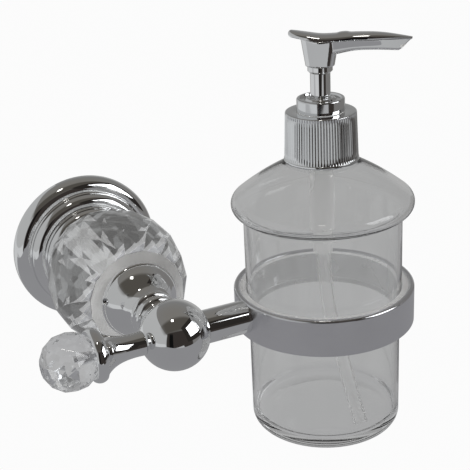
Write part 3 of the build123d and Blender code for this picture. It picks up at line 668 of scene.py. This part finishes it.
ball_stone_r = 12.0
ball_stone_x = box_mm("finial_crystal")[0].x + ball_stone_r * math.cos(math.asin(0.34))
ball_rings = []
for row in range(7):
    lean = math.asin(0.34) + (math.pi - 2 * math.asin(0.34)) * row / 6
    ball_rings.append((ball_stone_x + ball_stone_r * math.cos(lean), ball_stone_r * math.sin(lean)))
finished("ball_crystal", cut_stone(ball_rings, 12, on_arm, 1.65, ball_stone_x + 0.8), "cut_crystal",
         "holder", "finial_crystal", smooth_under=None)

# %% [markdown]
# ## Neck, ball and arms
# In front of the bell sits a turned neck with two beads, then the ball where the arms cross. A trumpet-shaped
# arm carries the small crystal, a plain rod carries the ring. The ends that meet the ball are hollowed to it.

# %% Neck with two beads
ball_r = box_mm("joint_ball")[1].z
seat_r = ball_r + 0.02
neck_start = -box_mm("neck_collar")[1].y


def seat_on_ball(radius):
    """How far from the ball's middle its surface lies, at a radius from an axis through it."""
    return math.sqrt(seat_r**2 - radius**2)


neck = [(rod_hole_r, neck_start), (8.9, neck_start), (8.8, neck_start + 0.5)]
neck += arc((8.9, 90.1), (10.2, 91.6), (8.9, 93.1), 12)
neck += [(8.55, 94.3)]
neck += arc((8.7, 95.1), (9.7, 96.4), (8.7, 97.7), 10)
neck += flow((8.0, 98.5), (8.0, 100.4), (8.2, 101.4), (8.5, reach - seat_on_ball(8.5)), 8)
neck += arc((8.5, reach - seat_on_ball(8.5)), (6.0, reach - seat_on_ball(6.0)),
            (rod_hole_r, reach - seat_on_ball(rod_hole_r)), 6)
finished("beaded_neck", lathe(softened(neck, 0.2), on_post), "chrome", "holder", "neck_collar")

# %% Ball
left_bore_r, right_bore_r = 2.5, 3.0
ball_left = -math.sqrt(ball_r**2 - left_bore_r**2)
ball_right = math.sqrt(ball_r**2 - right_bore_r**2)
ball = arc((left_bore_r, ball_left), (ball_r, 0.0), (right_bore_r, ball_right), 72)
ball += [(right_bore_r, 6.0), (0.0, 6.0), (0.0, -6.0), (left_bore_r, -6.0)]
finished("crossing_ball", lathe(ball, on_arm, 144), "chrome", "holder", "joint_ball")

# %% Trumpet arm
cup_face = box_mm("trumpet_arm")[0].x
cup_seat_r = ball_stone_r + 0.25


def seat_on_stone(radius):
    """Where the hollow for the small crystal lies, at a radius from the arm line."""
    return ball_stone_x + math.sqrt(cup_seat_r**2 - radius**2)


cup_rim_r = math.sqrt(cup_seat_r**2 - (cup_face - ball_stone_x) ** 2)
trumpet = arc((2.5, -seat_on_ball(2.5)), (3.8, -seat_on_ball(3.8)), (5.0, -seat_on_ball(5.0)), 4)
trumpet += flow((4.9, -17.0), (4.8, -24.0), (6.4, -28.4), (9.3, -31.2), 26)
trumpet += [(9.5, -31.7)]
trumpet += arc((10.5, -31.8), (11.2, -33.9), (10.3, cup_face), 14)
trumpet += [(cup_rim_r, cup_face)]
trumpet += arc((cup_rim_r, cup_face), (6.5, seat_on_stone(6.5)), (2.5, seat_on_stone(2.5)), 12)
finished("trumpet", lathe(softened(trumpet, 0.2), on_arm), "chrome", "holder", "trumpet_arm")

# %% Plain arm to the ring
rod_r = box_mm("ring_arm")[1].z
ring_low, ring_high = box_mm("holder_ring")
ring_r = (ring_high.y - ring_low.y) / 2
arm_bore_r = 3.6


def meets_ring(angle, radius, along):
    """The far end follows the round of the ring; the near end is hollowed to the ball."""
    if along > 20:
        along = bottle_x - math.sqrt((ring_r + 0.02) ** 2 - (radius * math.cos(angle)) ** 2)
    return radius, along


rod = [(rod_r, 20.0), (rod_r, 30.0), (arm_bore_r, 30.0)]
rod += arc((arm_bore_r, seat_on_ball(arm_bore_r)), (5.4, seat_on_ball(5.4)),
           (rod_r, seat_on_ball(rod_r)), 6)
finished("plain_arm", lathe(rod, on_arm, 120, meets_ring), "chrome", "holder", "ring_arm")

# %% [markdown]
# ## Bottle
# A blown bottle is thin: a straight wall, a round foot, and a bulge that rests like a lid over the wall.
# It is one closed outline, outside and inside. Around the neck a relief raises the thread for the closure.

# %% Bottle
foot_z = box_mm("bottle")[0].z
rim_z = box_mm("bottle")[1].z
wall = 1.6
low_r, high_r, neck_r, neck_bore_r = 32.4, 33.2, 12.3, 9.4
step_z, round_r, base_t = -4.6, 4.5, 4.5
low_in, high_in, floor_in = low_r - wall, high_r - wall, foot_z + base_t
thread_low, thread_pitch, thread_turns, thread_height = 67.5, 4.0, 1.5, 0.8


def thread(angle, radius, along):
    """Raise the thread on the outside of the neck."""
    if not neck_r - 0.01 < radius < neck_r + 0.01:
        return radius, along
    rise = 0.0
    for whole in (0, 1):
        turns = whole + angle / math.tau
        if turns <= thread_turns:
            away = abs(along - thread_low - thread_pitch * turns)
            rise = max(rise, min(1.0, max(0.0, (0.9 - away) / 0.55)))
    return radius + thread_height * rise, along


quarter = round_r * math.sqrt(0.5)
bottle = [(0.0, foot_z + 0.6), (22.0, foot_z + 0.6), (24.0, foot_z)]
bottle += arc((low_r - round_r, foot_z), (low_r - round_r + quarter, foot_z + round_r - quarter),
              (low_r, foot_z + round_r), 10)
bottle += [(low_r, step_z - 0.8), (high_r, step_z)]
bottle += arc((high_r, 38.0), (33.9, 39.6), (35.4, 40.3), 8)
bottle += arc((35.4, 40.3), (38.1, 44.3), (36.3, 47.5), 20)[1:]
bottle += arc((36.3, 47.5), (26.6, 54.6), (15.8, 60.9), 20)[1:]
bottle += arc((15.8, 60.9), (13.3, 61.9), (neck_r, 63.4), 8)[1:]
neck_rows = 58
bottle += [(neck_r, 63.4 + (rim_z - 63.4) * row / neck_rows) for row in range(1, neck_rows + 1)]
bottle += [(neck_bore_r, rim_z)]
bottle += arc((neck_bore_r, 63.0), (25.9, 53.1), (35.0, 46.5), 20)
bottle += arc((35.0, 46.5), (36.5, 44.3), (34.6, 41.8), 16)[1:]
bottle += arc((34.6, 41.8), (32.5, 40.6), (high_in, 38.6), 8)[1:]
bottle += [(high_in, 0.0), (low_in, -8.0)]
bottle += arc((low_in, floor_in + round_r), (low_in - round_r + quarter, floor_in + round_r - quarter),
              (low_in - round_r, floor_in), 10)
bottle += [(0.0, floor_in)]
finished("glass_bottle", lathe(softened(bottle, 0.5), on_bottle, 160, thread), "bottle_glass",
         "bottle", "bottle")

# %% [markdown]
# ## Closure and chaplet
# The closure is chromed plastic with eighty soft flutes for grip. The relief is a cosine, so each flute
# mirrors a wide sweep of the room, which gives the fine black and white lines. A plain chaplet on top of it
# guides the stem.

# %% Closure with flutes
shell_low, shell_high = box_mm("closure_shell")
shell_foot, shell_top = shell_low.z, shell_high.z
shell_low_r, shell_top_r, shell_hole_r = 15.2, 14.5, 9.95
flutes, flute_depth = 80, 0.34
flute_low, flute_high = shell_foot + 1.3, shell_top - 0.35
flute_run_in, flute_run_out, flute_rows, steps_per_flute = 0.5, 0.4, 12, 12


def fluted(angle, radius, along):
    """Press the flutes into the outside of the closure."""
    outside = radius > shell_top_r - 0.15 and flute_low < along < flute_high
    if not outside:
        return radius, along
    ends = min(1.0, (along - flute_low) / flute_run_in, (flute_high - along) / flute_run_out)
    valley = 0.5 - 0.5 * math.cos(flutes * angle)
    return radius - flute_depth * max(0.0, ends) * valley, along


shell = [(14.6, shell_foot), (shell_low_r, shell_foot), (shell_low_r + 0.22, shell_foot + 0.5),
         (shell_low_r + 0.15, shell_foot + 1.2)]
shell_taper = (shell_low_r - shell_top_r) / (shell_top - shell_foot)
for row in range(flute_rows + 1):
    z = flute_low + (flute_high - flute_low) * row / flute_rows
    shell.append((shell_low_r - (z - shell_foot) * shell_taper, z))
shell += [(shell_top_r - 0.35, shell_top), (shell_hole_r, shell_top), (shell_hole_r, shell_top - 0.6),
          (13.9, shell_top - 0.6)]
finished("fluted_closure", lathe(softened(shell, 0.2), on_bottle, flutes * steps_per_flute, fluted),
         "collar_chrome", "closure", "closure_shell")

# %% Chaplet
chaplet_low, chaplet_high = box_mm("locking_collar")
chaplet_r = (chaplet_high.x - chaplet_low.x) / 2
chaplet_top = chaplet_high.z - 0.2
chaplet_foot = shell_top + 0.1
stem_hole_r, seat_bore_r, upstand_r, upstand_top = 4.16, 5.4, 8.9, 86.0
chaplet = [(upstand_r, chaplet_foot), (chaplet_r, chaplet_foot), (chaplet_r, chaplet_top - 0.7)]
chaplet += arc((chaplet_r, chaplet_top - 0.7), (chaplet_r - 0.2, chaplet_top - 0.2),
               (chaplet_r - 0.7, chaplet_top), 6)[1:]
chaplet += [(8.5, chaplet_top), (8.1, chaplet_top - 0.9), (6.4, chaplet_top - 0.9)]
chaplet += arc((5.9, chaplet_top - 0.2), (5.2, chaplet_top + 0.18), (4.5, chaplet_top - 0.1), 8)
chaplet += [(stem_hole_r, chaplet_top - 0.4), (stem_hole_r, chaplet_low.z), (seat_bore_r, chaplet_low.z),
            (seat_bore_r, upstand_top), (upstand_r, upstand_top)]
finished("chaplet", lathe(softened(chaplet, 0.18), on_bottle), "collar_chrome", "pump", "locking_collar")

# %% [markdown]
# ## Pump head
# The head is a long leaf with a saddle-shaped top. Its cover is crowned across, so its flank turns down and
# mirrors the dark room while the crest mirrors the ceiling. It is lofted: at each station along the spout the
# plan gives the half width, the saddle line gives the height, and the same small outline is fitted in.

# %% Pump head: cover
spout_turn = math.radians(-36.0)
spout_along = Vector((math.cos(spout_turn), math.sin(spout_turn), 0))
spout_side = Vector((-math.sin(spout_turn), math.cos(spout_turn), 0))
stem_axis = Vector((bottle_x, -reach, 0))
rear_t, tip_t, half_width, tip_half = -12.4, 36.0, 4.6, 0.9
cover_t, dome_power = 2.4, 2.6
ridge_t, ridge_length, ridge_rise = 9.3, 2.2, 0.5
crest_line = [(-12.4, 115.1), (-11.4, 115.1), (-5.0, 114.1), (0.5, 113.4), (7.0, 113.6), (14.0, 114.0),
              (24.0, 113.8), (36.0, 112.0)]
keel_line = [(2.0, 104.4), (6.4, 105.5), (14.0, 107.0), (22.0, 107.2), (31.0, 106.8)]
face_low, face_high = (31.0, 106.8), (35.6, 111.2)


def through(points, t):
    """Height of a smooth line through points (t, z)."""
    for i in range(len(points) - 1):
        if t <= points[i + 1][0] or i == len(points) - 2:
            break
    (t0, z0), (t1, z1) = points[i], points[i + 1]
    before = points[max(i - 1, 0)]
    after = points[min(i + 2, len(points) - 1)]
    slope0 = (z1 - before[1]) / (t1 - before[0])
    slope1 = (after[1] - z0) / (after[0] - t0)
    s = (t - t0) / (t1 - t0)
    span = t1 - t0
    return ((2 * s**3 - 3 * s**2 + 1) * z0 + (s**3 - 2 * s**2 + s) * span * slope0
            + (3 * s**2 - 2 * s**3) * z1 + (s**3 - s**2) * span * slope1)


def head_point(t, u, z):
    """Point of the head in metres: t along the spout, u across it, z up."""
    return (stem_axis + spout_along * t + spout_side * u + Vector((0, 0, z))) * mm


def leaf(grow, steps=24):
    """Stations (t, half width) of the leaf shape seen from above."""
    half = half_width + grow
    rear = flow((rear_t - grow, 0.0), (rear_t - grow, half * 0.8), (-7.0, half), (0.0, half), steps)
    flank = flow((0.0, half), (12.0, half), (26.0, half * 0.86), (tip_t, tip_half + grow / 2), steps * 2)
    return rear[1:] + flank[1:]


def loft(sections):
    """Closed mesh through sections of equal length, with flat ends."""
    mesh = bmesh.new()
    loops = [[mesh.verts.new(point) for point in section] for section in sections]
    count = len(loops[0])
    for one, two in zip(loops, loops[1:]):
        for i in range(count):
            after = (i + 1) % count
            mesh.faces.new((one[i], one[after], two[after], two[i]))
    mesh.faces.new(loops[0])
    mesh.faces.new(loops[-1])
    return mesh


thinning_from, thinned_share = 20.0, 0.75


def underside(t):
    """Where cover and body part; the cover thins out towards the tip."""
    thinning = min(1.0, max(0.0, (t - thinning_from) / (tip_t - thinning_from)))
    return through(crest_line, t) - cover_t * (1 - thinned_share * thinning * thinning * (3 - 2 * thinning))


cover_sections = []
around_dome, rear_lip, rim_height, foot_share = 28, 1.4, 0.15, 0.97
for t, w in leaf(0.0):
    crest, under = through(crest_line, t), underside(t)
    middle = (crest + under) / 2
    squeeze = math.sqrt(max(0.02, 1 - max(0.0, (rear_t + rear_lip - t) / rear_lip) ** 2))
    section = []
    for i in range(around_dome + 1):
        turn = math.pi * i / around_dome
        u = math.copysign(abs(math.cos(turn)) ** (2 / dome_power), math.cos(turn))
        lift = math.sin(turn) ** (2 / dome_power)
        ridge = ridge_rise * math.exp(-((t - ridge_t) / ridge_length) ** 4) * max(0.0, 1 - (u / 0.6) ** 4)
        z = under + rim_height + (crest - under - rim_height) * lift + ridge
        section.append((u * w, z))
    section += [(-w * foot_share, under), (w * foot_share, under)]
    cover_sections.append([head_point(t, u, middle + (z - middle) * squeeze) for u, z in section])
finished("saddle_cover", loft(cover_sections), "chrome", "head", "head_cover")

# %% [markdown]
# The body under the cover is a die casting: a round boss over the stem that grows into a keeled spout. Both
# are rough lofts first; a voxel remesh melts them together and a few smoothing passes make the fillets, then
# the bores are cut. Baking the modifiers gives one plain mesh.

# %% Pump head: body
def baked(mesh, voxel, passes, bores):
    """Melt a bmesh of overlapping shells into one smooth skin and cut cylindrical bores into it."""
    bmesh.ops.remove_doubles(mesh, verts=mesh.verts, dist=0.001 * mm)
    bmesh.ops.recalc_face_normals(mesh, faces=mesh.faces)
    rough = bpy.data.meshes.new("rough")
    mesh.to_mesh(rough)
    mesh.free()
    work = bpy.data.objects.new("rough", rough)
    bpy.context.scene.collection.objects.link(work)
    melt = work.modifiers.new("melt", "REMESH")
    melt.mode, melt.voxel_size = "VOXEL", voxel * mm
    fillet = work.modifiers.new("fillet", "SMOOTH")
    fillet.factor, fillet.iterations = 0.5, passes
    cutters = []
    for start, end, radius in bores:
        cutter_mesh = bmesh.new()
        way = end - start
        turn = Vector((0, 0, 1)).rotation_difference(way).to_matrix().to_4x4()
        bmesh.ops.create_cone(cutter_mesh, cap_ends=True, segments=48, radius1=radius * mm,
                              radius2=radius * mm, depth=way.length,
                              matrix=Matrix.Translation((start + end) / 2) @ turn)
        data = bpy.data.meshes.new("bore")
        cutter_mesh.to_mesh(data)
        cutter_mesh.free()
        cutter = bpy.data.objects.new("bore", data)
        bpy.context.scene.collection.objects.link(cutter)
        cut = work.modifiers.new("bore", "BOOLEAN")
        cut.operation, cut.object, cut.solver = "DIFFERENCE", cutter, "EXACT"
        cutters.append(cutter)
    bpy.context.view_layer.update()
    skin = bpy.data.meshes.new_from_object(work.evaluated_get(bpy.context.evaluated_depsgraph_get()))
    result = bmesh.new()
    result.from_mesh(skin)
    for one in [work, *cutters]:
        bpy.data.objects.remove(one)
    return result


boss_bottom, boss_low, boss_long = 100.8, 5.8, 7.6
boss_low_across, boss_high_across = 4.5, 5.1
body_inset, body_gap, spout_half, least_height = 0.45, 0.05, 3.7, 0.15
stem_bore_r, stem_bore_top, nozzle_hole_r = 4.1, 109.2, 1.52
boss_rows, boss_sides, keel_sides = 12, 64, 16
keel_start, keel_narrowing, keel_round = 0.5, 0.84, 0.4
boss_sections = []
for row in range(boss_rows + 1):
    share = row / boss_rows
    long_r = boss_low + (boss_long - boss_low) * share
    across_r = boss_low_across + (boss_high_across - boss_low_across) * share
    section = []
    for step in range(boss_sides):
        turn = math.tau * step / boss_sides
        t = long_r * math.cos(turn)
        top = underside(t) - body_gap
        section.append(head_point(t, across_r * math.sin(turn), boss_bottom + (top - boss_bottom) * share))
    boss_sections.append(section)

keel_sections = []
face_slope = (face_high[1] - face_low[1]) / (face_high[0] - face_low[0])
for t, w in leaf(-body_inset):
    if t < keel_start:
        continue
    w = min(w, spout_half)
    if t < face_low[0]:
        keel = through(keel_line, max(t, keel_line[0][0]))
    else:
        keel = face_low[1] + (t - face_low[0]) * face_slope
    top = underside(t) - body_gap
    keel = min(keel, top - least_height)
    section = [head_point(t, w, top)]
    for i in range(keel_sides + 1):
        turn = math.pi * i / keel_sides
        u = math.copysign(abs(math.cos(turn)) ** 0.5, math.cos(turn)) * w * keel_narrowing
        section.append(head_point(t, u, keel + (top - keel) * keel_round * (1 - math.sin(turn) ** 0.7)))
    section.append(head_point(t, -w, top))
    keel_sections.append(section)

body_mesh = loft(boss_sections)
keel_mesh = loft(keel_sections)
keel_part = bpy.data.meshes.new("keel")
keel_mesh.to_mesh(keel_part)
keel_mesh.free()
body_mesh.from_mesh(keel_part)
bpy.data.meshes.remove(keel_part)
nozzle_dip = math.radians(18)
nozzle_start = head_point(29.3, 0, 109.4)
nozzle_way = spout_along * math.cos(nozzle_dip) - Vector((0, 0, math.sin(nozzle_dip)))
bores = [
    (head_point(0, 0, boss_bottom - 2), head_point(0, 0, stem_bore_top), stem_bore_r),
    (nozzle_start, nozzle_start + nozzle_way * 10 * mm, nozzle_hole_r),
]
finished("keeled_body", baked(body_mesh, 0.2, 6, bores), "chrome", "head", "head_body", smooth_under=55.0)

# %% [markdown]
# ## Return spring
# The spring stands on the cage of the inlet valve and pushes the piston up. When the head is pressed the
# coils close up. The mesh is a wire swept along a helix.

# %% Return spring
spring_low, spring_high = 33.5, 52.0
spring_r, spring_wire_r, spring_turns, stroke = 3.3, 0.38, 8, 8.5
wire_sides, steps_per_turn = 10, 40
spring_steps = spring_turns * steps_per_turn
spring_rise = spring_high - spring_low - 2 * spring_wire_r
coil = bmesh.new()
rings = []
for step in range(spring_steps + 1):
    turn = math.tau * step / steps_per_turn
    height = spring_low + spring_wire_r + spring_rise * step / spring_steps
    ring = []
    for side in range(wire_sides):
        lean = math.tau * side / wire_sides
        radius = spring_r + spring_wire_r * math.cos(lean)
        ring.append(coil.verts.new(on_bottle(
            height + spring_wire_r * math.sin(lean), radius * math.cos(turn), radius * math.sin(turn)
        )))
    rings.append(ring)
for one, two in zip(rings, rings[1:]):
    for side in range(wire_sides):
        after = (side + 1) % wire_sides
        coil.faces.new((one[side], one[after], two[after], two[side]))
coil.faces.new(rings[0])
coil.faces.new(rings[-1])
spring = finished("coil_spring", coil, "steel", "pump", "return_spring")
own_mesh(spring)
